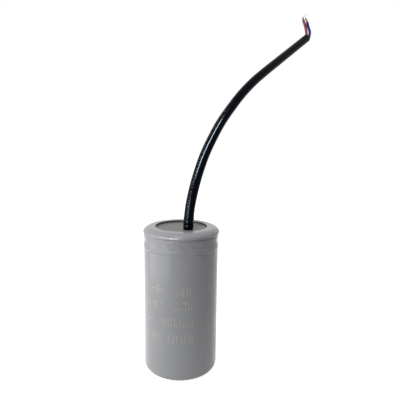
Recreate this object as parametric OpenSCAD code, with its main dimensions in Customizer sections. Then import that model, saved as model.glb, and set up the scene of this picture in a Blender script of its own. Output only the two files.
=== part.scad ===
// Round motor run capacitor: a drawn aluminium can in a shrunk grey sleeve,
// with a moulded cover in its rolled neck and a two-core cable fixed in the cover.
// Millimetres, +Z up, origin at the centre of the foot.

/* [Can] */
// Diameter over the sleeve on the straight wall
body_d = 50; // [40:1:66]
// Height from the foot to the top of the lip
total_h = 100; // [80:1:140]
// Thickness of the can's aluminium sheet
can_wall = 0.6; // [0.4:0.1:0.8]
// Radius of the rounded foot, over the sleeve
foot_round = 4.5; // [3.5:0.5:6]

/* [Neck] */
// Width of the lip, from the straight wall's outside in to the round mouth
lip_w = 7.7; // [7:0.1:9]
// How far the rim stands out past the straight wall
rim_flare = 0.45; // [0.2:0.05:0.8]
// Depth of the rim's widest line below the lip
rim_drop = 3.85; // [3:0.05:4.5]
// Width of the flat on top of the lip
lip_flat = 0.2; // [0.1:0.1:1]
// Outer radius of the can's curled edge
curl_r = 0.9; // [0.9:0.1:1.1]
// Depth of the rolled bead's middle below the lip
bead_drop = 8; // [7.5:0.5:12]
// Depth of the rolled bead
bead_depth = 2.2; // [1.5:0.1:2.6]
// Height of the bead's lower flank
bead_flank = 3.5; // [2.5:0.1:5]

/* [Sleeve] */
// Thickness of the shrunk sleeve
sleeve_wall = 0.6; // [0.4:0.1:0.8]
// How far the sleeve dips into the bead
waist_dip = 0.5; // [0.2:0.1:1]
// Height of the pucker under the bead
pucker_h = 3; // [2:0.5:5]
// How far the pucker stands out
pucker_out = 0.1; // [0.05:0.05:0.3]
// Width of the sleeve's fold under the foot, from the wall's outside in to its round window
foot_fold = 8; // [7:0.5:10]

/* [Cover] */
// Depth of the cover's floor below the lip
cover_recess = 1.4; // [1.1:0.1:1.8]
// Height of the cover's underside above the bead's ridge
seat_rise = 1; // [0.8:0.1:1.4]
// Height of the cover's flank that sits on the bead
seat_h = 1.6; // [1.2:0.1:2]
// Height of the low rib round the cover's floor
rib_h = 0.25; // [0.1:0.05:0.4]
// Width of that rib
rib_w = 0.5; // [0.4:0.1:1]
// Thickness of the rubber sealing ring under the curled edge
seal_t = 1.6; // [1.2:0.1:1.8]
// Width of the ring's upstand between the curled edge and the mouth
seal_lip = 1.5; // [1:0.1:1.8]
// How far the sealing ring stays inside the cover's flange
seal_inset = 0.8; // [0.4:0.1:1.2]
// Gap between the sealing ring and the cover's floor boss, and beside the curled edge
seal_gap = 0.1; // [0.05:0.05:0.2]

/* [Cable] */
// Diameter of the cable's jacket
cable_d = 6.6; // [5:0.1:7.4]
// Sideways place of the cable in the cover
cable_x = 4.8; // [0:0.1:6]
// Front to back place of the cable in the cover
cable_y = -4.5; // [-6:0.1:0]
// Compass bearing, from +X towards +Y, along which the cable leans
cable_bearing = 50; // [0:5:90]
// Radial gap between the cable and what it passes through
cable_gap = 0.05; // [0.05:0.05:0.15]
// Diameter of a core over its insulation
core_d = 2.3; // [1.8:0.1:2.4]
// Distance between the two cores' centres where they leave the jacket
core_pitch = 2.6; // [2.5:0.1:2.8]
// Diameter of a core's stripped strand bundle
strands_d = 1.4; // [0.8:0.1:1.6]
// Diameter of one copper strand
strand_d = 0.3; // [0.2:0.05:0.4]
// Wall of the rubber grommet round the cable
grommet_wall = 1.8; // [1.2:0.1:2.2]
// Height of the grommet's neck in the cover
grommet_neck = 2.4; // [1.5:0.1:2.6]
// Width and height of the grommet's flange under the cover
grommet_flange = 1; // [0.6:0.1:1.5]

/* [Winding] */
// Resin gap between the can and the wrapped roll
resin_gap = 2.4; // [1.5:0.1:4]
// Thickness of the film wrapped round the roll
wrap_t = 0.4; // [0.3:0.1:0.8]
// Height from the upper end contact to the cover's underside
head_space = 12; // [9:0.5:16]
// Thickness of a sprayed metal end contact
contact_t = 0.8; // [0.4:0.1:1.2]
// Outer diameter of the tube that the film is wound on
mandrel_d = 11; // [9:0.5:14]
// Bore of that tube
mandrel_bore = 8; // [5:0.5:8]
// How far the tube stands above the upper contact
mandrel_rise = 1; // [0.5:0.5:3]
// Thickness of the base insulator's floor
base_t = 4.5; // [4:0.1:6]
// Height of the base insulator's rim round the roll
base_rim = 5; // [3:0.5:8]
// Gap between the base insulator and the can
base_gap = 0.3; // [0.2:0.1:0.5]
// Radial thickness of the spacer ring
spacer_t = 3; // [2:0.5:4]
// Gap between the spacer ring and the wrap
spacer_gap = 0.2; // [0.1:0.1:0.4]
// Width of the spacer ring's resin notches
notch_w = 6; // [4:0.5:8]
// Height of those notches
notch_h = 4; // [3:0.5:6]
// Radius at which each lead is soldered to its contact
solder_at = 10; // [8:0.5:12]
// Radius of a solder joint's dome
solder_r = 2.4; // [2:0.1:2.6]

/* [Hidden] */
$fn = 96;

// Steps in each rounded stretch of a profile, and sides of the swept cable and cores
steps = 8;
cord_sides = 12;
core_sides = 8;
// How far a cutting body reaches past the face that it cuts
over = 1;

can_r = body_d / 2 - sleeve_wall;
can_in_r = can_r - can_wall;
can_floor = sleeve_wall + can_wall;
can_top = total_h - sleeve_wall;
can_foot = foot_round - sleeve_wall;
mouth_r = body_d / 2 - lip_w;
seal_in_r = mouth_r + seal_gap;
seal_lip_r = seal_in_r + seal_lip;
curl_mid_r = seal_lip_r + seal_gap + curl_r;
curl_bottom = can_top - 2 * curl_r;
rim_r = can_r + rim_flare;
rim_z = total_h - rim_drop;
bead_z = total_h - bead_drop;

cover_bottom = bead_z + seat_rise;
cover_flange_z = cover_bottom + seat_h;
cover_floor = total_h - cover_recess;
seal_z = curl_bottom - seal_t;
boss_r = mouth_r;

cable_r = cable_d / 2;
cable_bore_r = cable_r + cable_gap;
grommet_r = cable_bore_r + grommet_wall;

roll_r = can_in_r - resin_gap - wrap_t;
wrap_r = roll_r + wrap_t;
base_top = can_floor + base_t;
roll_bottom = base_top + contact_t;
head_z = cover_bottom - head_space;
roll_top = head_z - contact_t;
spacer_r = roll_r - spacer_gap;

// The cable's route: how far out along its bearing, and how high above the lip
cable_route = [[0, -12], [0, -2], [0.5, 5.5], [2, 14.5], [5.5, 25.5], [10, 36], [16, 47],
    [24, 58], [33.5, 69], [45, 79.5], [58, 90], [73, 100], [90, 109.5], [107, 118.5],
    [124, 127.5], [141, 136.5], [154.5, 143.6]];
// The free cores' routes from the jacket's end: along the cable, sideways, up
brown_route = [[0, 0, 0], [0.7, 0, 0], [1.7, 0, 0.5], [2.8, 0, 2.1], [3.6, 0.2, 4.4],
    [4.5, 0.8, 7.2], [5, 1.5, 10.7], [5, 2, 13.6]];
blue_route = [[0, 0, 0], [0.7, 0, 0], [1.9, -0.3, 0.6], [3.2, -0.6, 2.3], [4.7, -0.5, 4.2],
    [5.6, 0, 6], [6, 0.7, 8.4], [6, 1, 10.9], [6, 1, 13]];
// The stripped strands' routes from the end of their core
brown_tip_route = [[0, 0, 0], [0, 0.07, 0.4], [0, 0.1, 0.9], [0.2, -0.1, 1.5], [0.5, -0.4, 2]];
blue_tip_route = [[0, 0, 0], [0, 0, 0.4], [-0.1, 0.4, 1.6], [-0.2, 0.8, 2.8], [-0.3, 1.2, 3.4]];
stray_route = [[0.5, -0.4, 2], [0.8, -1.7, 3], [1, -3.2, 4.1], [1.1, -4, 3.8]];

// A half wave from 0 to 1, for a flank that is round at both ends
function ease(t) = (1 - cos(180 * t)) / 2;

function arc(mid, rx, rz, from, to) = [for (i = [0 : steps])
    let (a = from + (to - from) * i / steps)
    [mid[0] + rx * cos(a), mid[1] + rz * sin(a)]];

function tail(list, skip = 1) = [for (i = [skip : len(list) - 1]) list[i]];
function backwards(list) = [for (i = [len(list) - 1 : -1 : 0]) list[i]];
function unit(v) = v / norm(v);
function left(v) = [-v[1], v[0]];

// A sheet's other face: the path moved sideways by t, with true mitres
function offset_path(path, t) = [for (i = [0 : len(path) - 1])
    let (
        last = len(path) - 1,
        before = left(unit(path[max(i, 1)] - path[max(i, 1) - 1])),
        after = left(unit(path[min(i + 1, last)] - path[min(i, last - 1)])),
        mitre = unit(before + after)
    )
    path[i] + mitre * t / (mitre * before)];

// The can's outer face from the middle of its foot to the end of its curled edge
foot_arc = arc([can_r - can_foot, sleeve_wall + can_foot], can_foot, can_foot, -90, 0);
shoulder_arc = arc([curl_mid_r + lip_flat, rim_z], rim_r - curl_mid_r - lip_flat,
    can_top - rim_z, 0, 90);
function neck(dip) = concat(
    [for (i = [0 : steps]) [can_r - dip * ease(i / steps), bead_z - bead_flank * (1 - i / steps)]],
    [for (i = [1 : steps])
        [can_r - dip + (rim_flare + dip) * ease(i / steps), bead_z + (rim_z - bead_z) * i / steps]]
);
curl_arc = arc([curl_mid_r, can_top - curl_r], curl_r, curl_r, 90, 270);

can_face = concat([[0, sleeve_wall]], foot_arc, neck(bead_depth), tail(shoulder_arc), curl_arc);
can_inside = offset_path(can_face, can_wall);

// The sleeve's inner face: on the can, but spanning the bead with a shallow waist
pucker = [for (i = [0 : steps - 1])
    [can_r + pucker_out * sin(180 * i / steps), bead_z - bead_flank - pucker_h * (1 - i / steps)]];
sleeve_inside = concat([[body_d / 2 - foot_fold, sleeve_wall]], foot_arc, pucker, neck(waist_dip),
    tail(shoulder_arc), [[mouth_r, can_top]]);
sleeve_face = offset_path(sleeve_inside, -sleeve_wall);

// The can's inner face on the bead's upper flank, and its radius at a height
seat_flank = [for (p = can_inside) if (p[1] > bead_z && p[1] < rim_z && p[0] > can_in_r / 2) p];
function seat_r(z) = lookup(z, [for (p = seat_flank) [p[1], p[0]]]);
cover_flange_r = seat_r(cover_flange_z);

// Swept tubes
function bearing_out(b) = [cos(b), sin(b), 0];
function bearing_side(b) = [-sin(b), cos(b), 0];
function cable_point(p) = [cable_x, cable_y, total_h] + p[0] * bearing_out(cable_bearing)
    + [0, 0, p[1]];
cable_path = [for (p = cable_route) cable_point(p)];
cable_end = cable_path[len(cable_path) - 1];
end_along = unit(cable_end - cable_path[len(cable_path) - 2]);
end_side = bearing_side(cable_bearing);
end_up = cross(end_along, end_side);
function from_end(p) = cable_end + p[0] * end_along + p[1] * end_side + p[2] * end_up;

core_step = core_pitch / 2 / sqrt(2);
brown_start = [0, core_step, core_step];
blue_start = [0, -core_step, -core_step];
brown_path = [for (p = brown_route) from_end(brown_start + p)];
blue_path = [for (p = blue_route) from_end(blue_start + p)];
brown_tip = brown_start + brown_route[len(brown_route) - 1];
blue_tip = blue_start + blue_route[len(blue_route) - 1];

module tube(path, r, sides) {
    last = len(path) - 1;
    rings = [for (i = [0 : last])
        let (
            t = unit(path[min(i + 1, last)] - path[max(i - 1, 0)]),
            u = unit(cross(end_side, t)),
            v = cross(t, u)
        )
        for (k = [0 : sides - 1])
            path[i] + r * (cos(360 * k / sides) * u + sin(360 * k / sides) * v)];
    walls = [for (i = [0 : last - 1], k = [0 : sides - 1])
        [i * sides + k, (i + 1) * sides + k, (i + 1) * sides + (k + 1) % sides,
            i * sides + (k + 1) % sides]];
    start_cap = [for (k = [0 : sides - 1]) k];
    end_cap = [for (k = [sides - 1 : -1 : 0]) last * sides + k];
    polyhedron(points = rings, faces = concat([start_cap], walls, [end_cap]), convexity = 6);
}

// A stiff wire inside the can: straight stretches, with a ball at each corner that is
// just larger than the wire, so that it covers both stretches' edges
ball_scale = 1.04;
module wire(path, d) {
    for (i = [0 : len(path) - 2]) {
        span = path[i + 1] - path[i];
        translate(path[i])
            rotate([0, acos(span[2] / norm(span)), atan2(span[1], span[0])])
                cylinder(d = d, h = norm(span));
    }
    for (i = [1 : len(path) - 2]) {
        translate(path[i]) sphere(d = d * ball_scale);
    }
}

module ring(inner, outer, z0, z1) {
    rotate_extrude()
        polygon([[inner, z0], [outer, z0], [outer, z1], [inner, z1]]);
}

module shrink_sleeve() {
    color([0.60, 0.61, 0.62])
        rotate_extrude()
            polygon(concat(sleeve_face, backwards(sleeve_inside)));
}

module can() {
    color([0.80, 0.81, 0.82])
        rotate_extrude()
            polygon(concat(can_face, backwards(can_inside)));
}

module cover() {
    flank = [for (p = seat_flank) if (p[1] > cover_bottom && p[1] < cover_flange_z) p];
    color([0.50, 0.51, 0.49])
        difference() {
            rotate_extrude()
                polygon(concat(
                    [[0, cover_bottom], [seat_r(cover_bottom), cover_bottom]],
                    flank,
                    [[cover_flange_r, cover_flange_z], [cover_flange_r, seal_z]],
                    [[boss_r, seal_z], [boss_r, cover_floor + rib_h]],
                    [[boss_r - rib_w, cover_floor + rib_h], [boss_r - rib_w, cover_floor]],
                    [[0, cover_floor]]
                ));
            translate([cable_x, cable_y, cover_bottom - over]) {
                cylinder(r = cable_bore_r, h = cover_floor - cover_bottom + 2 * over);
                cylinder(r = grommet_r, h = grommet_neck + over);
            }
        }
}

module sealing_ring() {
    color([0.05, 0.05, 0.05])
        rotate_extrude()
            polygon([[seal_in_r, seal_z], [cover_flange_r - seal_inset, seal_z],
                [cover_flange_r - seal_inset, curl_bottom], [seal_lip_r, curl_bottom],
                [seal_lip_r, can_top], [seal_in_r, can_top]]);
}

module cable_grommet() {
    flange_r = grommet_r + grommet_flange;
    color([0.08, 0.08, 0.08])
        translate([cable_x, cable_y, cover_bottom])
            rotate_extrude()
                polygon([[cable_bore_r, -grommet_flange], [flange_r, -grommet_flange], [flange_r, 0],
                    [grommet_r, 0], [grommet_r, grommet_neck], [cable_bore_r, grommet_neck]]);
}

module cable_jacket() {
    color([0.04, 0.04, 0.05])
        tube(cable_path, cable_r, cord_sides);
}

module brown_core() {
    color([0.45, 0.13, 0.10])
        tube(brown_path, core_d / 2, core_sides);
}

module blue_core() {
    color([0.16, 0.28, 0.62])
        tube(blue_path, core_d / 2, core_sides);
}

module brown_strands() {
    color([0.72, 0.42, 0.26])
        tube([for (p = brown_tip_route) from_end(brown_tip + p)], strands_d / 2, core_sides);
}

module blue_strands() {
    color([0.72, 0.42, 0.26])
        tube([for (p = blue_tip_route) from_end(blue_tip + p)], strands_d / 2, core_sides);
}

module stray_strand() {
    color([0.72, 0.42, 0.26])
        tube([for (p = stray_route) from_end(brown_tip + p)], strand_d / 2, core_sides);
}

// The slot under the roll that takes the lower lead
slot_w = core_d + solder_r;
slot_clear = 0.35;
slot_h = core_d + 2 * slot_clear;
slot_floor = base_top - slot_h;
module lead_slot() {
    translate([0, 0, slot_floor]) {
        cylinder(d = slot_w, h = slot_h + over);
        translate([0, -slot_w / 2, 0]) cube([solder_at, slot_w, slot_h + over]);
        translate([solder_at, 0, 0]) cylinder(d = slot_w, h = slot_h + over);
    }
}

module base_insulator() {
    flat_r = can_r - can_foot - base_gap;
    out_r = can_in_r - base_gap;
    color([0.86, 0.84, 0.78])
        difference() {
            rotate_extrude()
                polygon([[0, can_floor], [flat_r, can_floor], [out_r, can_floor + out_r - flat_r],
                    [out_r, base_top + base_rim], [wrap_r, base_top + base_rim],
                    [wrap_r, base_top], [0, base_top]]);
            lead_slot();
        }
}

module winding() {
    color([0.74, 0.75, 0.77])
        ring(mandrel_d / 2, roll_r, roll_bottom, roll_top);
}

module core_tube() {
    color([0.90, 0.90, 0.86])
        ring(mandrel_bore / 2, mandrel_d / 2, base_top, head_z + mandrel_rise);
}

module top_contact() {
    color([0.62, 0.63, 0.65])
        ring(mandrel_d / 2, roll_r, roll_top, head_z);
}

module bottom_contact() {
    color([0.62, 0.63, 0.65])
        ring(mandrel_d / 2, roll_r, base_top, roll_bottom);
}

module winding_wrap() {
    color([0.88, 0.86, 0.70])
        ring(roll_r, wrap_r, base_top, head_z + notch_h / 2);
}

module spacer_ring() {
    color([0.86, 0.84, 0.78])
        difference() {
            ring(spacer_r - spacer_t, spacer_r, head_z, cover_bottom);
            for (a = [0 : 90 : 270]) {
                rotate([0, 0, a])
                    translate([0, -notch_w / 2, head_z - over])
                        cube([spacer_r + over, notch_w, notch_h + over]);
            }
        }
}

// Where the cores leave the jacket inside the can, and where the brown one lands
tail_end = cable_path[0];
brown_land = [solder_at, -solder_at / 2, head_z];

module brown_lead() {
    start = tail_end + [core_pitch / 2, 0, 0];
    color([0.45, 0.13, 0.10])
        wire([start, start - [0, 0, core_d], brown_land + [0, 0, solder_r / 2]], core_d);
}

module blue_lead() {
    start = tail_end - [core_pitch / 2, 0, 0];
    low = slot_floor + slot_h / 2;
    color([0.16, 0.28, 0.62])
        wire([start, start - [0, 0, core_d], [0, 0, head_z + mandrel_rise], [0, 0, low],
            [solder_at, 0, low]], core_d);
}

module top_solder() {
    color([0.78, 0.79, 0.80])
        difference() {
            translate(brown_land)
                intersection() {
                    sphere(r = solder_r);
                    cylinder(r = solder_r + over, h = solder_r + over);
                }
            brown_lead();
        }
}

module bottom_solder() {
    color([0.78, 0.79, 0.80])
        difference() {
            translate([solder_at, 0, slot_floor])
                cylinder(r = solder_r / 2, h = slot_h);
            blue_lead();
        }
}

module resin_fill() {
    inside = [for (p = can_inside) if (p[1] < cover_bottom) p];
    color([0.30, 0.28, 0.22])
        difference() {
            rotate_extrude()
                polygon(concat(inside, [[seat_r(cover_bottom), cover_bottom], [0, cover_bottom]]));
            base_insulator();
            ring(mandrel_bore / 2, wrap_r, base_top, head_z);
            ring(mandrel_bore / 2, mandrel_d / 2, base_top, head_z + mandrel_rise);
            winding_wrap();
            spacer_ring();
            brown_lead();
            blue_lead();
            translate(brown_land) sphere(r = solder_r);
            bottom_solder();
            cable_grommet();
            translate([cable_x, cable_y, tail_end[2]])
                cylinder(r = cable_bore_r, h = cover_bottom - tail_end[2] + over);
        }
}

shrink_sleeve();
can();
cover();
sealing_ring();
cable_grommet();
cable_jacket();
brown_core();
blue_core();
brown_strands();
blue_strands();
stray_strand();
base_insulator();
winding();
core_tube();
top_contact();
bottom_contact();
winding_wrap();
spacer_ring();
brown_lead();
blue_lead();
top_solder();
bottom_solder();
resin_fill();
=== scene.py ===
import math
import random

import bpy
from mathutils import Matrix, Quaternion, Vector


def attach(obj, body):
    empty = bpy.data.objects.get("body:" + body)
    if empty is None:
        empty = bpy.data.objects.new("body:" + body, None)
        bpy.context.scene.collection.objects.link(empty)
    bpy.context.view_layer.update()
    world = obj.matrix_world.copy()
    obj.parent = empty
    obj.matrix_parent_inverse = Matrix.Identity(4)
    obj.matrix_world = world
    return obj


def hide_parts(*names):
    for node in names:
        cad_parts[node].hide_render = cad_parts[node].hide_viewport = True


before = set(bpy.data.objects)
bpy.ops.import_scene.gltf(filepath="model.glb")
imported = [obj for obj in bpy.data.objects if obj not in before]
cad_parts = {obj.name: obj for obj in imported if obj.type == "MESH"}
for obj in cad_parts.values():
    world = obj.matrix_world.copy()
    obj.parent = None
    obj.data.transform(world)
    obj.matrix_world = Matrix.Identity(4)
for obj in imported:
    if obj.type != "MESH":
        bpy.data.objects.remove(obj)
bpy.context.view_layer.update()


# ---- Camera -------------------------------------------------------------------------------
# Close in front of the can and a little above its lip, tipped down just enough to see the
# cover in the mouth. The whole cable stands in the view.
camera = bpy.data.objects.new("camera", bpy.data.cameras.new("camera"))
bpy.context.scene.collection.objects.link(camera)
bpy.context.scene.camera = camera
camera.data.sensor_width = 36
camera.data.lens = 38.84
camera_pan, camera_tip, camera_roll = (math.radians(a) for a in (-0.036, 80.46, 0.76))
camera.matrix_world = (Matrix.Translation((0.0122, -0.2833, 0.1652))
                       @ Matrix.Rotation(camera_pan, 4, "Z")
                       @ Matrix.Rotation(camera_tip, 4, "X")
                       @ Matrix.Rotation(camera_roll, 4, "Z"))


# ---- Cable jacket -------------------------------------------------------------------------
# A round two-core flex in extruded black PVC. It is cast into the resin under the cover,
# comes up through the cover's hole and stands by its own stiffness. Its far end is cut off
# square, and the bore that held the cores is open there.
mm = 0.001
cable_d = 6.6
cable_at = Vector((4.8, -4.5, 100))
cable_bearing = math.radians(50)
cable_out = Vector((math.cos(cable_bearing), math.sin(cable_bearing), 0))
cable_side = Vector((-math.sin(cable_bearing), math.cos(cable_bearing), 0))
# How far out along the bearing, and how high above the lip
cable_route = [(0, -12), (0, -2), (0.5, 5.5), (2, 14.5), (5.5, 25.5), (10, 36), (16, 47),
               (24, 58), (33.5, 69), (45, 79.5), (58, 90), (73, 100), (90, 109.5),
               (107, 118.5), (124, 127.5), (141, 136.5), (154.5, 143.6)]
cable_points = [cable_at + out * cable_out + Vector((0, 0, up)) for out, up in cable_route]


def smooth_line(points, step):
    """The points joined by one smooth curve, with a point every step or so."""
    ends = [2 * points[0] - points[1]] + list(points) + [2 * points[-1] - points[-2]]
    line = []
    for a, b, c, d in zip(ends, ends[1:], ends[2:], ends[3:]):
        pieces = max(1, round((c - b).length / step))
        for i in range(pieces):
            t = i / pieces
            line.append(0.5 * (2 * b + (c - a) * t + (2 * a - 5 * b + 4 * c - d) * t ** 2
                               + (3 * b - a - 3 * c + d) * t ** 3))
    return line + [points[-1]]


def along(line, side):
    """Each point with two directions square to the line, carried along without twist."""
    stations = []
    for i, p in enumerate(line):
        ahead = (line[min(i + 1, len(line) - 1)] - line[max(i - 1, 0)]).normalized()
        side = (side - ahead * side.dot(ahead)).normalized()
        stations.append((p, ahead, side, ahead.cross(side)))
    return stations


def build(name, verts, faces, smooth):
    """A piece of the object, from points in millimetres."""
    mesh = bpy.data.meshes.new(name)
    mesh.from_pydata([p * mm for p in verts], [], faces)
    mesh.polygons.foreach_set("use_smooth", [smooth] * len(faces))
    mesh.update()
    piece = bpy.data.objects.new(name, mesh)
    bpy.context.scene.collection.objects.link(piece)
    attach(piece, "root")
    return piece


def tube_faces(count, n, first=0, loop=False):
    """Faces over rings of n points from the point numbered first on: a tube with flat ends,
    or a loop that closes on itself."""
    faces = []
    for i in range(count if loop else count - 1):
        a = first + i * n
        b = first + (i + 1) % count * n
        faces += [(a + k, a + (k + 1) % n, b + (k + 1) % n, b + k) for k in range(n)]
    if not loop:
        end = first + count * n
        faces += [tuple(range(first + n - 1, first - 1, -1)), tuple(range(end - n, end))]
    return faces


def skin(name, rings, loop=False):
    """One smooth piece over rings of points."""
    return build(name, [p for ring in rings for p in ring],
                 tube_faces(len(rings), len(rings[0]), loop=loop), True)


def circle(station, radius, sides, ahead=0.0):
    """A ring of points square to the line at a station, or some way ahead of it."""
    p, forward, side, up = station
    turns = [2 * math.pi * k / sides for k in range(sides)]
    return [p + ahead * forward + radius * (math.cos(t) * side + math.sin(t) * up)
            for t in turns]


def linear(r, g, b):
    """A colour as it looks on a screen, 0 to 255, as the shaders take it."""
    return [((c / 255 + 0.055) / 1.055) ** 2.4 if c > 10 else c / 255 / 12.92
            for c in (r, g, b)] + [1]


def from_to(tree, value, low, high, start=0.0, end=1.0):
    """A value that runs from start to end, made to run from low to high."""
    spread = tree.nodes.new("ShaderNodeMapRange")
    spread.inputs["From Min"].default_value = start
    spread.inputs["From Max"].default_value = end
    spread.inputs["To Min"].default_value = low
    spread.inputs["To Max"].default_value = high
    tree.links.new(value, spread.inputs["Value"])
    return spread.outputs["Result"]


def finish(name, light, dark, grain, rough, bump, bump_grain, stretch=(1, 1, 1), **sockets):
    """A surface whose colour and roughness wander between two values with a noise grain,
    with a finer relief. Grains are noise scales in one metre."""
    made = bpy.data.materials.new(name)
    made.use_nodes = True
    tree = made.node_tree
    shader = tree.nodes["Principled BSDF"]
    for socket, value in sockets.items():
        shader.inputs[socket.replace("_", " ")].default_value = value
    place = tree.nodes.new("ShaderNodeTexCoord")
    mapped = tree.nodes.new("ShaderNodeMapping")
    mapped.inputs["Scale"].default_value = stretch
    tree.links.new(place.outputs["Object"], mapped.inputs["Vector"])
    noise = tree.nodes.new("ShaderNodeTexNoise")
    noise.inputs["Scale"].default_value = grain
    noise.inputs["Detail"].default_value = 4
    tree.links.new(mapped.outputs["Vector"], noise.inputs["Vector"])
    ramp = tree.nodes.new("ShaderNodeValToRGB")
    ramp.color_ramp.elements[0].position = 0.3
    ramp.color_ramp.elements[1].position = 0.7
    ramp.color_ramp.elements[0].color = linear(*dark)
    ramp.color_ramp.elements[1].color = linear(*light)
    tree.links.new(noise.outputs["Fac"], ramp.inputs["Fac"])
    tree.links.new(ramp.outputs["Color"], shader.inputs["Base Color"])
    tree.links.new(from_to(tree, noise.outputs["Fac"], *rough, start=0.2, end=0.8),
                   shader.inputs["Roughness"])
    relief_noise = tree.nodes.new("ShaderNodeTexNoise")
    relief_noise.inputs["Scale"].default_value = bump_grain
    relief_noise.inputs["Detail"].default_value = 2
    tree.links.new(mapped.outputs["Vector"], relief_noise.inputs["Vector"])
    relief = tree.nodes.new("ShaderNodeBump")
    relief.inputs["Strength"].default_value = 1
    relief.inputs["Distance"].default_value = bump
    tree.links.new(relief_noise.outputs["Fac"], relief.inputs["Height"])
    tree.links.new(relief.outputs["Normal"], shader.inputs["Normal"])
    return made


def dress(piece, material):
    """Gives the piece, or a CAD node by its name, one material in every slot."""
    mesh = (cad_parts[piece] if isinstance(piece, str) else piece).data
    if not mesh.materials:
        mesh.materials.append(material)
    for i in range(len(mesh.materials)):
        mesh.materials[i] = material


black_pvc = finish("black_pvc", (4, 6, 12), (2, 3, 7), 260, (0.12, 0.17),
                   bump=0.00001, bump_grain=900, stretch=(1, 1, 0.4), Specular_IOR_Level=0.035,
                   Specular_Tint=(0.66, 0.82, 1, 1))

cable_line = smooth_line(cable_points, 2)
cable_r = cable_d / 2
cable_sides = 32
jacket_bore_r = 2.45
jacket_bore_depth = 5
jacket_edge = 0.2
jacket_end = along(cable_line, cable_side)[-1]
# Heights above the lip at which the jacket is ruckled by its bend, and how far it swells.
# Up to a height above them its rings lie close together.
ruckles = [(0.6, 0.16), (3.2, 0.18), (6.2, 0.2)]
ruckle_half = 0.7
close_rings_to = cable_at.z + 10
close_step = 0.4


def ruckle(p):
    """How far the jacket swells out at this point of its line."""
    up = p.z - cable_at.z
    return sum(swell * math.exp(-((up - z) / ruckle_half) ** 2) for z, swell in ruckles)


foot_line = [p for p in smooth_line(cable_points, close_step) if p.z < close_rings_to]
upper_line = [p for p in cable_line if p.z >= close_rings_to]
jacket_stations = along(foot_line + upper_line, cable_side)
jacket_rings = [circle(s, cable_r + ruckle(s[0]), cable_sides) for s in jacket_stations[:-1]]
jacket_rings += [circle(jacket_end, cable_r, cable_sides, -jacket_edge),
                 circle(jacket_end, cable_r - jacket_edge / 3, cable_sides, -jacket_edge / 3),
                 circle(jacket_end, cable_r - jacket_edge, cable_sides),
                 circle(jacket_end, jacket_bore_r + jacket_edge / 2, cable_sides),
                 circle(jacket_end, jacket_bore_r, cable_sides, -jacket_edge / 2),
                 circle(jacket_end, jacket_bore_r, cable_sides, -jacket_bore_depth)]
jacket = skin("cable_jacket_pvc", jacket_rings)
dress(jacket, black_pvc)
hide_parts("cable_jacket")

# The cable's own marking is a row of small grey strokes along one side, which spell nothing. They
# turn a little round the cable on their way up, as the cable does. Their grey is also a painted
# sheen: it stands in for the dull reflection along that side of the cable.
mark_w, mark_long, mark_proud, mark_buried = 1.1, 0.5, 0.02, 0.15
mark_from, mark_to = 10, 108
mark_turn, mark_turn_per_mm = 110, -0.28
random.seed(17)
mark_verts, mark_faces = [], []
left_to_next = 0
for p, ahead, side, up in along(smooth_line(cable_points, 0.5), cable_side):
    above_lip = p.z - cable_at.z
    if not mark_from < above_lip < mark_to or left_to_next > 0:
        left_to_next -= 1
        continue
    left_to_next = random.choice((2, 2, 3, 3, 5))
    turned = math.radians(mark_turn + mark_turn_per_mm * above_lip)
    corners = []
    for step in (-1, 1):
        for out in (-mark_buried, mark_proud):
            t = turned + step * mark_w / 2 / cable_r
            away = (cable_r + out) * (math.cos(t) * side + math.sin(t) * up)
            corners += [p + away - ahead * mark_long / 2, p + away + ahead * mark_long / 2]
    base = len(mark_verts)
    mark_verts += corners
    mark_faces += [tuple(base + k for k in face)
                   for face in ((0, 1, 3, 2), (4, 6, 7, 5), (0, 4, 5, 1), (2, 3, 7, 6),
                                (0, 2, 6, 4), (1, 5, 7, 3))]
cable_marking_and_sheen = build("cable_marking_and_sheen", mark_verts, mark_faces, False)
# The strokes' grey is print, and also a painted sheen along this side of the cable
dress(cable_marking_and_sheen, finish("grey_ink_and_sheen", (112, 114, 122), (84, 86, 94), 700, (0.4, 0.5),
                            bump=0.00001, bump_grain=3000, Specular_IOR_Level=0.2))


# ---- Cores and their stripped strands -----------------------------------------------------
# Two PVC-insulated cores come out of the jacket's cut end and stand up side by side, the
# brown one on the left. Each is stripped at its tip, where its fine copper strands are
# twisted together by hand. One strand of the brown core was missed and sticks away.
core_d = 2.3
core_pitch = 2.6
core_sides = 20
core_edge = 0.1
core_bore_depth = 0.6
strand_bundle_d = 1.4
strand_d = 0.3
strand_count = 14
strand_sides = 8
end_along = (cable_points[-1] - cable_points[-2]).normalized()
end_up = end_along.cross(cable_side)
# From the jacket's end: along the cable, sideways, up
brown_route = [(0, 0, 0), (0.7, 0, 0), (1.7, 0, 0.5), (2.8, 0, 2.1), (3.6, 0.2, 4.4),
               (4.5, 0.8, 7.2), (5, 1.5, 10.7), (5, 2, 13.6)]
blue_route = [(0, 0, 0), (0.7, 0, 0), (1.9, -0.3, 0.6), (3.2, -0.6, 2.3), (4.7, -0.5, 4.2),
              (5.6, 0, 6), (6, 0.7, 8.4), (6, 1, 10.9), (6, 1, 13)]
# From each core's own end
brown_tip_route = [(0, 0, 0), (0, 0.07, 0.4), (0, 0.1, 0.9), (0.2, -0.1, 1.5), (0.5, -0.4, 2)]
blue_tip_route = [(0, 0, 0), (0, 0, 0.4), (-0.1, 0.4, 1.6), (-0.2, 0.8, 2.8), (-0.3, 1.2, 3.4)]
stray_route = [(0.5, -0.4, 2), (0.8, -1.7, 3), (1, -3.2, 4.1), (1.1, -4, 3.8)]


def from_jacket(start, route):
    """A route that is given from a start at the jacket's end, as points of the object."""
    return [cable_points[-1] + (start[0] + a) * end_along + (start[1] + b) * cable_side
            + (start[2] + c) * end_up for a, b, c in route]


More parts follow.
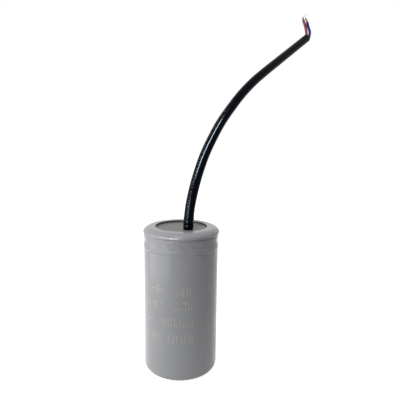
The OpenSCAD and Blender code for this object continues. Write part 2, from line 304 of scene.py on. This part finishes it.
def insulation(name, start, route, material, node):
    """A core: it starts inside the jacket's bore, and its cut end shows the copper."""
    points = from_jacket(start, [(-jacket_bore_depth + 0.2, 0, 0)] + route)
    stations = along(smooth_line(points, 0.5), cable_side)
    cut = stations[-1]
    r, copper_r = core_d / 2, strand_bundle_d / 2
    rings = [circle(s, r, core_sides) for s in stations[:-1]]
    rings += [circle(cut, r, core_sides, -core_edge), circle(cut, r - core_edge, core_sides),
              circle(cut, copper_r, core_sides),
              circle(cut, copper_r, core_sides, -core_bore_depth)]
    core = skin(name, rings)
    dress(core, material)
    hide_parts(node)
    return core


def twisted_strands(name, points, turns, splay, seed):
    """Fine wires, one in the middle, six round it and the rest round those, that wind round
    the line that the bundle follows, and open at the tip."""
    random.seed(seed)
    stations = along(smooth_line(points, 0.2), cable_side)
    last = len(stations) - 1
    verts, faces = [], []
    opens_from = 0.6
    outer = strand_count - 7
    places = [(0.0, 0.0)]
    places += [(strand_d * 0.98, i / 6) for i in range(6)]
    places += [(strand_bundle_d / 2 - strand_d / 2, (i + 0.5) / outer) for i in range(outer)]
    for out, turn in places:
        short = random.randint(0, 2)
        open_by = 1 + splay * random.random()
        centre = []
        for i, (p, ahead, side, up) in enumerate(stations[:last + 1 - short]):
            t = i / last
            angle = 2 * math.pi * (turn + turns * t)
            opened = max(0, t - opens_from) / (1 - opens_from)
            reach = out * (1 + (open_by - 1) * opened)
            centre.append(p + reach * (math.cos(angle) * side + math.sin(angle) * up))
        faces += tube_faces(len(centre), strand_sides, len(verts))
        for s in along(centre, cable_side):
            verts += circle(s, strand_d / 2, strand_sides)
    piece = build(name, verts, faces, True)
    return piece


brown_pvc = finish("brown_pvc", (132, 62, 68), (118, 50, 56), 300, (0.35, 0.45),
                   bump=0.00001, bump_grain=1500, Specular_IOR_Level=0.3)
blue_pvc = finish("blue_pvc", (18, 28, 140), (12, 20, 120), 300, (0.32, 0.42),
                  bump=0.00001, bump_grain=1500, Specular_IOR_Level=0.2)
copper = finish("copper", (158, 112, 88), (128, 84, 64), 1800, (0.35, 0.5),
                bump=0.00001, bump_grain=5000, Metallic=0.55)
tarnished_copper = finish("tarnished_copper", (66, 59, 54), (48, 43, 40), 1800, (0.5, 0.6),
                          bump=0.00001, bump_grain=5000, Metallic=0.4)

step_side = core_pitch / 2 / math.sqrt(2)
brown_start = (0, step_side, step_side)
blue_start = (0, -step_side, -step_side)
brown_core = insulation("brown_core_pvc", brown_start, brown_route, brown_pvc,
                        "brown_core")
blue_core = insulation("blue_core_pvc", blue_start, blue_route, blue_pvc,
                       "blue_core")
brown_tip = [a + b for a, b in zip(brown_start, brown_route[-1])]
blue_tip = [a + b for a, b in zip(blue_start, blue_route[-1])]
brown_copper = twisted_strands("brown_copper", from_jacket(brown_tip, brown_tip_route),
                               0.5, 0.5, 3)
blue_copper = twisted_strands("blue_copper", from_jacket(blue_tip, blue_tip_route),
                              0.6, 0.4, 5)
stray_line = smooth_line(from_jacket(brown_tip, stray_route), 0.2)
stray_copper = skin("stray_copper", [circle(s, strand_d / 2, strand_sides)
                                     for s in along(stray_line, cable_side)])
for copper_piece, node, metal in ((brown_copper, "brown_strands", copper),
                                  (blue_copper, "blue_strands", copper),
                                  (stray_copper, "stray_strand", tarnished_copper)):
    dress(copper_piece, metal)
    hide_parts(node)


# ---- Shrink sleeve ------------------------------------------------------------------------
# A tube of grey PVC, slipped over the finished can and shrunk on with hot air. It is folded
# in over the curled rim and under the foot, lies tight on the straight wall, and spans the
# rolled bead, where its spare material has gathered into creases.
wall_r = 25
total_h = 100
foot_round = 4.5
sleeve_wall = 0.6
window_r = 17
pucker_low = 85.6
pucker_z, pucker_r = 86.9, 25.2
waist_z, waist_r = 90.8, 24.78
tuck_z, tuck_r = 95.45, 25.12
rim_z, rim_r = 96.4, 25.55
shoulder_r = 20.1
mouth_r = 17.3
mouth_edge = 0.25
around = 384
relief_from = 80
foot_relief_to = 4


def bow(mid, rx, rz, start, end, count):
    """Points on an elliptical arc, in degrees, without the first one."""
    turns = [math.radians(start + (end - start) * (i + 1) / count) for i in range(count)]
    return [(mid[0] + rx * math.cos(t), mid[1] + rz * math.sin(t)) for t in turns]


def run(a, b, count, shape=lambda t: t):
    """Points from a to b without the first one; the radius may ease in and out."""
    ts = [(i + 1) / count for i in range(count)]
    return [(a[0] + (b[0] - a[0]) * shape(t), a[1] + (b[1] - a[1]) * t) for t in ts]


def ease(t):
    return (1 - math.cos(math.pi * t)) / 2


sleeve_out = [(window_r, 0.0)]
sleeve_out += run(sleeve_out[-1], (wall_r - foot_round, 0), 6)
sleeve_out += bow((wall_r - foot_round, foot_round), foot_round, foot_round, -90, 0, 14)
sleeve_out += run(sleeve_out[-1], (wall_r, relief_from), 37)
sleeve_out += run(sleeve_out[-1], (wall_r, pucker_low), 17)
sleeve_out += run(sleeve_out[-1], (pucker_r, pucker_z), 8, ease)
sleeve_out += run(sleeve_out[-1], (waist_r, waist_z), 14, ease)
sleeve_out += run(sleeve_out[-1], (tuck_r, tuck_z), 18, ease)
sleeve_out += run(sleeve_out[-1], (rim_r, rim_z), 7, ease)
sleeve_out += bow((shoulder_r, rim_z), rim_r - shoulder_r, total_h - rim_z, 0, 90, 26)
sleeve_out += run(sleeve_out[-1], (mouth_r + mouth_edge, total_h), 8)
sleeve_out += bow((mouth_r + mouth_edge, total_h - mouth_edge), mouth_edge, mouth_edge,
                  90, 180, 5)


def inset(line, t):
    """The same line moved inwards by t: the sheet's other face."""
    moved = []
    for i, (r, z) in enumerate(line):
        (r0, z0), (r1, z1) = line[max(i - 1, 0)], line[min(i + 1, len(line) - 1)]
        length = math.hypot(r1 - r0, z1 - z0)
        moved.append((r - t * (z1 - z0) / length, z + t * (r1 - r0) / length))
    return moved


# Creases in the gathered sleeve: where they start and end (degrees round from the front
# towards +X, and height), their depth and their half width
neck_creases = [
    (-56, 88.1, -32, 87.6, 0.26, 0.42), (-20, 87.8, -6, 89.7, 0.075, 0.42),
    (-29, 90.2, -20, 88.9, 0.05, 0.4), (-9, 95.6, -3, 93.2, 0.2, 0.45),
    (-57, 94.1, -29, 94.5, 0.12, 0.4), (19, 90.5, 50, 88.5, 0.32, 0.4),
    (19, 88.6, 49, 87.1, 0.32, 0.4), (19, 86.8, 45, 85.6, 0.24, 0.4),
    (19, 93.6, 39, 93.6, 0.1, 0.4), (21, 85.4, 27.7, 82.3, 0.2, 0.5)]
random.seed(11)
turn = 60.0
while turn < 285:
    z = random.uniform(86.8, 91.5)
    reach = random.uniform(12, 30)
    slope = random.uniform(-2.2, 2.2)
    neck_creases.append((turn, z, turn + reach, z + slope, random.uniform(0.08, 0.16),
                         random.uniform(0.4, 0.6)))
    turn += random.uniform(9, 17)
# The same for the small puckers where the fold goes under the foot
foot_creases = []
turn = 0.0
while turn < 360:
    foot_creases.append((turn, random.uniform(1.6, 2.4), turn + random.uniform(1, 4),
                         random.uniform(-0.6, 0.4), random.uniform(0.05, 0.13),
                         random.uniform(0.35, 0.5)))
    turn += random.uniform(7, 15)


def crease_depth(creases, angle, z):
    """How far all the creases press the sleeve in at one place, in millimetres. Each is a
    groove with a low ridge along both sides, and fades towards its ends."""
    depth = 0.0
    for a0, z0, a1, z1, deep, half in creases:
        if not min(z0, z1) - 2 < z < max(z0, z1) + 2:
            continue
        dx = (angle - a0 + 180) % 360 - 180
        x, length_x = math.radians(dx) * wall_r, math.radians(a1 - a0) * wall_r
        y, length_y = z - z0, z1 - z0
        t = (x * length_x + y * length_y) / (length_x ** 2 + length_y ** 2)
        t = min(1, max(0, t))
        away = math.hypot(x - t * length_x, y - t * length_y) / half
        if away < 4:
            taper = math.sin(math.pi * (0.12 + 0.76 * t))
            depth += deep * taper * (math.exp(-away ** 2) - 0.45 * math.exp(-(away - 1.7) ** 2))
    return depth


# Slow waves round the rim and the neck: how many round the can, their size, start and lean
rim_waves = [(random.randint(2, 9), random.uniform(0.02, 0.05), random.uniform(0, 6),
              random.uniform(-0.5, 0.5)) for _ in range(6)]
neck_waves = [(random.randint(5, 21), random.uniform(0.015, 0.035), random.uniform(0, 6),
               random.uniform(-0.9, 0.9)) for _ in range(8)]
# The middle height and half width of the zone of each, and the tuck right under the rim
neck_zone, rim_zone = (91, 4.5), (96.5, 3)
tuck_deep, tuck_half = 0.16, 0.4


def wander(angle, z, waves):
    return sum(size * math.sin(math.radians(count * angle) + start + lean * z)
               for count, size, start, lean in waves)


def bell(z, middle, half):
    return math.exp(-((z - middle) / half) ** 2)


def sleeve_point(r, z, k, relief):
    """The point of the k-th of the upright lines round the sleeve, with or without relief."""
    angle = 360 * k / around
    if relief and z > relief_from:
        r += bell(z, *neck_zone) * wander(angle, z, neck_waves)
        r += bell(z, *rim_zone) * wander(angle, z, rim_waves)
        r -= crease_depth(neck_creases, angle, z)
        r -= (tuck_deep + wander(angle, 0, rim_waves)) * bell(z, tuck_z, tuck_half)
    elif relief and z < foot_relief_to and r > wall_r - 3:
        r -= crease_depth(foot_creases, angle, z)
    t = math.radians(angle)
    return Vector((r * math.sin(t), -r * math.cos(t), z))


sleeve_in = inset(sleeve_out, sleeve_wall)
sleeve_rings = [[sleeve_point(r, z, k, True) for k in range(around)] for r, z in sleeve_out]
inner_every = 3
sleeve_rings += [[sleeve_point(r, z, k, False) for k in range(around)]
                 for r, z in sleeve_in[::-1][::inner_every]]
sleeve = skin("sleeve_pvc", sleeve_rings, loop=True)
grey_pvc = finish("grey_pvc", (122, 123, 125), (118, 119, 121), 30, (0.2, 0.24),
                  bump=0.00002, bump_grain=500, stretch=(1, 1, 0.35),
                  Specular_IOR_Level=0.21)
# It is glossier where it is stretched over the neck than at the rubbed foot. Over its lowest part
# its colour is painted a little paler: painted light, where the floor's bounce would light it
neck_rough, foot_rough = 0.14, 0.262
painted_light_gain, painted_light_to = 1.13, 45
tree = grey_pvc.node_tree
shader = tree.nodes["Principled BSDF"]
where = tree.nodes.new("ShaderNodeTexCoord")
height = tree.nodes.new("ShaderNodeSeparateXYZ")
tree.links.new(where.outputs["Object"], height.inputs["Vector"])
tree.links.new(from_to(tree, height.outputs["Z"], foot_rough, neck_rough, 0, total_h * mm),
               shader.inputs["Roughness"])
# Painted light: the base colour is scaled paler towards the bottom
painted_light_scale = tree.nodes.new("ShaderNodeVectorMath")
painted_light_scale.operation = "SCALE"
tree.links.new(shader.inputs["Base Color"].links[0].from_socket, painted_light_scale.inputs[0])
tree.links.new(from_to(tree, height.outputs["Z"], painted_light_gain, 1, 0, painted_light_to * mm),
               painted_light_scale.inputs["Scale"])
tree.links.new(painted_light_scale.outputs["Vector"], shader.inputs["Base Color"])
dress(sleeve, grey_pvc)
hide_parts("shrink_sleeve")


# ---- Print on the sleeve ------------------------------------------------------------------
# Pale ink pad-printed on the sleeve. It only stands for the maker's print: a plain capacitor
# sign, and four rows of strokes that spell nothing.
ink_proud = 0.03
ink_buried = 0.05
stroke_w = 0.42
dash_w = 1.6
patch_step = 0.8
print_verts, print_faces = [], []


def ink_patch(angle, z, width, height):
    """A thin patch of ink on the wall: its middle in degrees and millimetres, and its size."""
    steps = max(1, math.ceil(width / patch_step))
    base = len(print_verts)
    for i in range(steps + 1):
        t = math.radians(angle) + (i / steps - 0.5) * width / wall_r
        for r, h in ((wall_r - ink_buried, z - height / 2), (wall_r - ink_buried, z + height / 2),
                     (wall_r + ink_proud, z + height / 2), (wall_r + ink_proud, z - height / 2)):
            print_verts.append(Vector((r * math.sin(t), -r * math.cos(t), h)))
    for i in range(steps):
        a = base + 4 * i
        print_faces.extend((a + k, a + (k + 1) % 4, a + (k + 1) % 4 + 4, a + k + 4)
                           for k in range(4))
    print_faces.append((base, base + 3, base + 2, base + 1))
    print_faces.append(tuple(base + 4 * steps + k for k in range(4)))


# The rows: first and last angle, middle height and height of the strokes. Each stroke is
# tall, half as tall, a pair of short ones, or a dash.
print_rows = [(-4, 17, 62.6, 5.6), (-54, -24, 53, 5.4), (-7, 20, 53, 5.6), (-54, -40, 42.4, 5.2),
              (-27, 21, 41.8, 5.8), (-43, -25, 31, 5.4), (-16, 21, 30.8, 5.8)]
random.seed(29)
for first, last, middle, tall in print_rows:
    angle = first
    while angle < last:
        pattern = random.choice(("tall", "tall", "short", "pair", "dash"))
        if pattern == "tall":
            ink_patch(angle, middle, stroke_w, tall)
        elif pattern == "short":
            ink_patch(angle, middle - tall / 4, stroke_w, tall / 2)
        elif pattern == "pair":
            ink_patch(angle, middle + tall / 3, stroke_w, tall / 3)
            ink_patch(angle, middle - tall / 3, stroke_w, tall / 3)
        else:
            ink_patch(angle + 1, middle + random.choice((-1, 0, 1)) * tall * 0.4,
                      dash_w, stroke_w)
        angle += random.uniform(3.2, 4.6)
# The sign: two upright plates beside each other, each with its wire out to the side
sign_angle, sign_z = -34.4, 63.2
plate_off, plate_h = 2, 6.5
wire_off, wire_w = 6.8, 3.8
for side in (-1, 1):
    ink_patch(sign_angle + side * plate_off, sign_z, stroke_w, plate_h)
    ink_patch(sign_angle + side * wire_off, sign_z, wire_w, stroke_w)
sleeve_print = build("sleeve_print", print_verts, print_faces, False)
pale_ink = finish("pale_ink", (144, 144, 140), (124, 124, 121), 700, (0.3, 0.4),
                  bump=0.00001, bump_grain=3000)
dress(sleeve_print, pale_ink)


# ---- Cover, sealing ring and cable grommet ------------------------------------------------
# The cover is a grey moulded disc that lies on the can's bead. The curled rim presses a black
# rubber ring down on its flange, which seals the can, and a black rubber grommet closes the
# hole round the cable.
cover_moulding = finish("cover_moulding", (99, 100, 97), (92, 93, 90), 180, (0.42, 0.6),
                        bump=0.00005, bump_grain=1500)
black_rubber = finish("black_rubber", (30, 30, 31), (20, 20, 21), 400, (0.55, 0.75),
                      bump=0.00004, bump_grain=2500)
dress("cover", cover_moulding)
dress("sealing_ring", black_rubber)
dress("cable_grommet", black_rubber)


# ---- Can ----------------------------------------------------------------------------------
# The can is deep-drawn from aluminium and keeps a satin face from the draw. Its neck is
# rolled in to a bead and its rim is curled in over the cover. Only its flat bottom shows, in
# the sleeve's window under the foot.
can_aluminium = finish("can_aluminium", (206, 208, 210), (186, 188, 190), 90, (0.3, 0.45),
                       bump=0.00003, bump_grain=700, stretch=(1, 1, 0.1), Metallic=1.0)
dress("can", can_aluminium)


# ---- Inside the can -----------------------------------------------------------------------
# The roll of metallised film with its sprayed zinc ends, the tube that it is wound on, the
# clear film round it, the moulded base and spacer, the soldered leads, and the amber
# resin that fills the can.
film_roll = finish("film_roll", (196, 198, 202), (176, 178, 184), 60, (0.25, 0.4),
                   bump=0.00003, bump_grain=2000, stretch=(1, 1, 0.05))
sprayed_zinc = finish("sprayed_zinc", (168, 170, 174), (140, 142, 146), 900, (0.6, 0.8),
                      bump=0.0002, bump_grain=2600, Metallic=0.6)
white_moulding = finish("white_moulding", (226, 222, 208), (214, 210, 196), 120, (0.4, 0.55),
                        bump=0.00003, bump_grain=1200)
clear_film = finish("clear_film", (232, 228, 190), (220, 214, 176), 150, (0.15, 0.3),
                    bump=0.00002, bump_grain=400, Alpha=0.55)
solder = finish("solder", (208, 209, 212), (178, 180, 184), 1200, (0.2, 0.35),
                bump=0.00004, bump_grain=1500, Metallic=1.0)
casting_resin = finish("casting_resin", (104, 84, 52), (82, 64, 38), 110, (0.12, 0.3),
                       bump=0.00003, bump_grain=300)
for material, names in ((film_roll, ["winding"]),
                        (sprayed_zinc, ["top_contact", "bottom_contact"]),
                        (white_moulding, ["base_insulator", "core_tube", "spacer_ring"]),
                        (clear_film, ["winding_wrap"]),
                        (solder, ["top_solder", "bottom_solder"]),
                        (casting_resin, ["resin_fill"]),
                        (brown_pvc, ["brown_lead"]), (blue_pvc, ["blue_lead"])):
    for name in names:
        dress(name, material)


# ---- Floor and light ----------------------------------------------------------------------
# A white studio: the camera and the gloss see floor and world as white, and both light the
# object only softly. A soft panel stands on the left and soft lamps hang above. Three lamps
# that only the gloss sees draw the bright lines on the cable and on the rim.
far = 30
floor_mesh = bpy.data.meshes.new("floor")
floor_mesh.from_pydata([(-far, -far, 0), (far, -far, 0), (far, far, 0), (-far, far, 0)], [],
                       [(0, 1, 2, 3)])
floor = bpy.data.objects.new("floor", floor_mesh)
bpy.context.scene.collection.objects.link(floor)


def seen_directly(tree):
    """1 for the rays that the camera, the gloss and clear pieces send out, otherwise 0."""
    path = tree.nodes.new("ShaderNodeLightPath")
    seen = path.outputs["Is Camera Ray"]
    for ray in ("Is Glossy Ray", "Is Transmission Ray"):
        either = tree.nodes.new("ShaderNodeMath")
        either.operation = "MAXIMUM"
        tree.links.new(seen, either.inputs[0])
        tree.links.new(path.outputs[ray], either.inputs[1])
        seen = either.outputs[0]
    return seen


floor_white = bpy.data.materials.new("floor_white")
floor_white.use_nodes = True
tree = floor_white.node_tree
shader = tree.nodes["Principled BSDF"]
shader.inputs["Base Color"].default_value = (0.8, 0.8, 0.8, 1)
shader.inputs["Roughness"].default_value = 0.9
shader.inputs["Specular IOR Level"].default_value = 0
shader.inputs["Emission Color"].default_value = (1, 1, 1, 1)
tree.links.new(from_to(tree, seen_directly(tree), 0, 0.9), shader.inputs["Emission Strength"])
# From below the floor is clear, so that the can's foot can be looked at
underside = tree.nodes.new("ShaderNodeNewGeometry")
clear = tree.nodes.new("ShaderNodeBsdfTransparent")
either = tree.nodes.new("ShaderNodeMixShader")
tree.links.new(underside.outputs["Backfacing"], either.inputs[0])
tree.links.new(shader.outputs[0], either.inputs[1])
tree.links.new(clear.outputs[0], either.inputs[2])
tree.links.new(either.outputs[0], tree.nodes["Material Output"].inputs["Surface"])
floor_mesh.materials.append(floor_white)

world = bpy.data.worlds.new("studio")
bpy.context.scene.world = world
world.use_nodes = True
tree = world.node_tree
background = tree.nodes["Background"]
background.inputs["Color"].default_value = (1, 1, 1, 1)
ambient = 0.13
tree.links.new(from_to(tree, seen_directly(tree), ambient, 1), background.inputs["Strength"])


def lamp(name, place, aim, size, power, gloss=True, gloss_only=False, roll=0, lit=()):
    """A soft lamp. It may be left out of the gloss or be seen by the gloss alone, be turned
    round its aim by some degrees, and light only the pieces in lit."""
    light = bpy.data.lights.new(name, "AREA")
    light.shape = "RECTANGLE"
    light.size, light.size_y = size
    light.energy = power
    made = bpy.data.objects.new(name, light)
    bpy.context.scene.collection.objects.link(made)
    made.location = place
    facing = (Vector(place) - Vector(aim)).to_track_quat("Z", "Y")
    made.rotation_euler = (facing @ Quaternion((0, 0, 1), math.radians(roll))).to_euler()
    made.visible_diffuse = not gloss_only
    made.visible_glossy = gloss
    if lit:
        only = bpy.data.collections.new(name + "_lights")
        for piece in lit:
            only.objects.link(piece)
        made.light_linking.receiver_collection = only


lamp("left_panel", (-0.181, -0.085, 0.138), (0, 0, 0.138), (0.3, 0.3), 0.88)
lamp("top_light", (-0.117, -0.354, 0.607), (0.015, 0.008, 0.147), (0.16, 0.35), 1.5)
lamp("overhead", (0.12, -0.07, 0.6), (0, 0, 0.1), (0.3, 0.3), 1.0, gloss=False)
lamp("back_fill", (0.185, 0.28, 0.64), (0.06, 0.06, 0.2), (0.22, 0.22), 0.7, gloss=False)
lamp("cable_glint", (-0.07, -0.365, 0.7), (0.016, 0.01, 0.15), (0.6, 0.14), 85,
     gloss_only=True, roll=49, lit=[jacket])
lamp("foot_glint", (-0.31, -0.51, 0.18), (0.005, -0.004, 0.11), (0.3, 0.3), 12,
     gloss_only=True, lit=[jacket])
lamp("lip_light", (0.08, -0.07, 0.62), (0, 0, 0.1), (0.2, 0.2), 0.85, gloss=False, lit=[sleeve])
lamp("rim_glint", (-0.331, -0.476, 0.302), (0, -0.02, 0.1), (0.64, 0.03), 9,
     gloss_only=True, lit=[sleeve])

bpy.context.scene.view_settings.view_transform = "Standard"
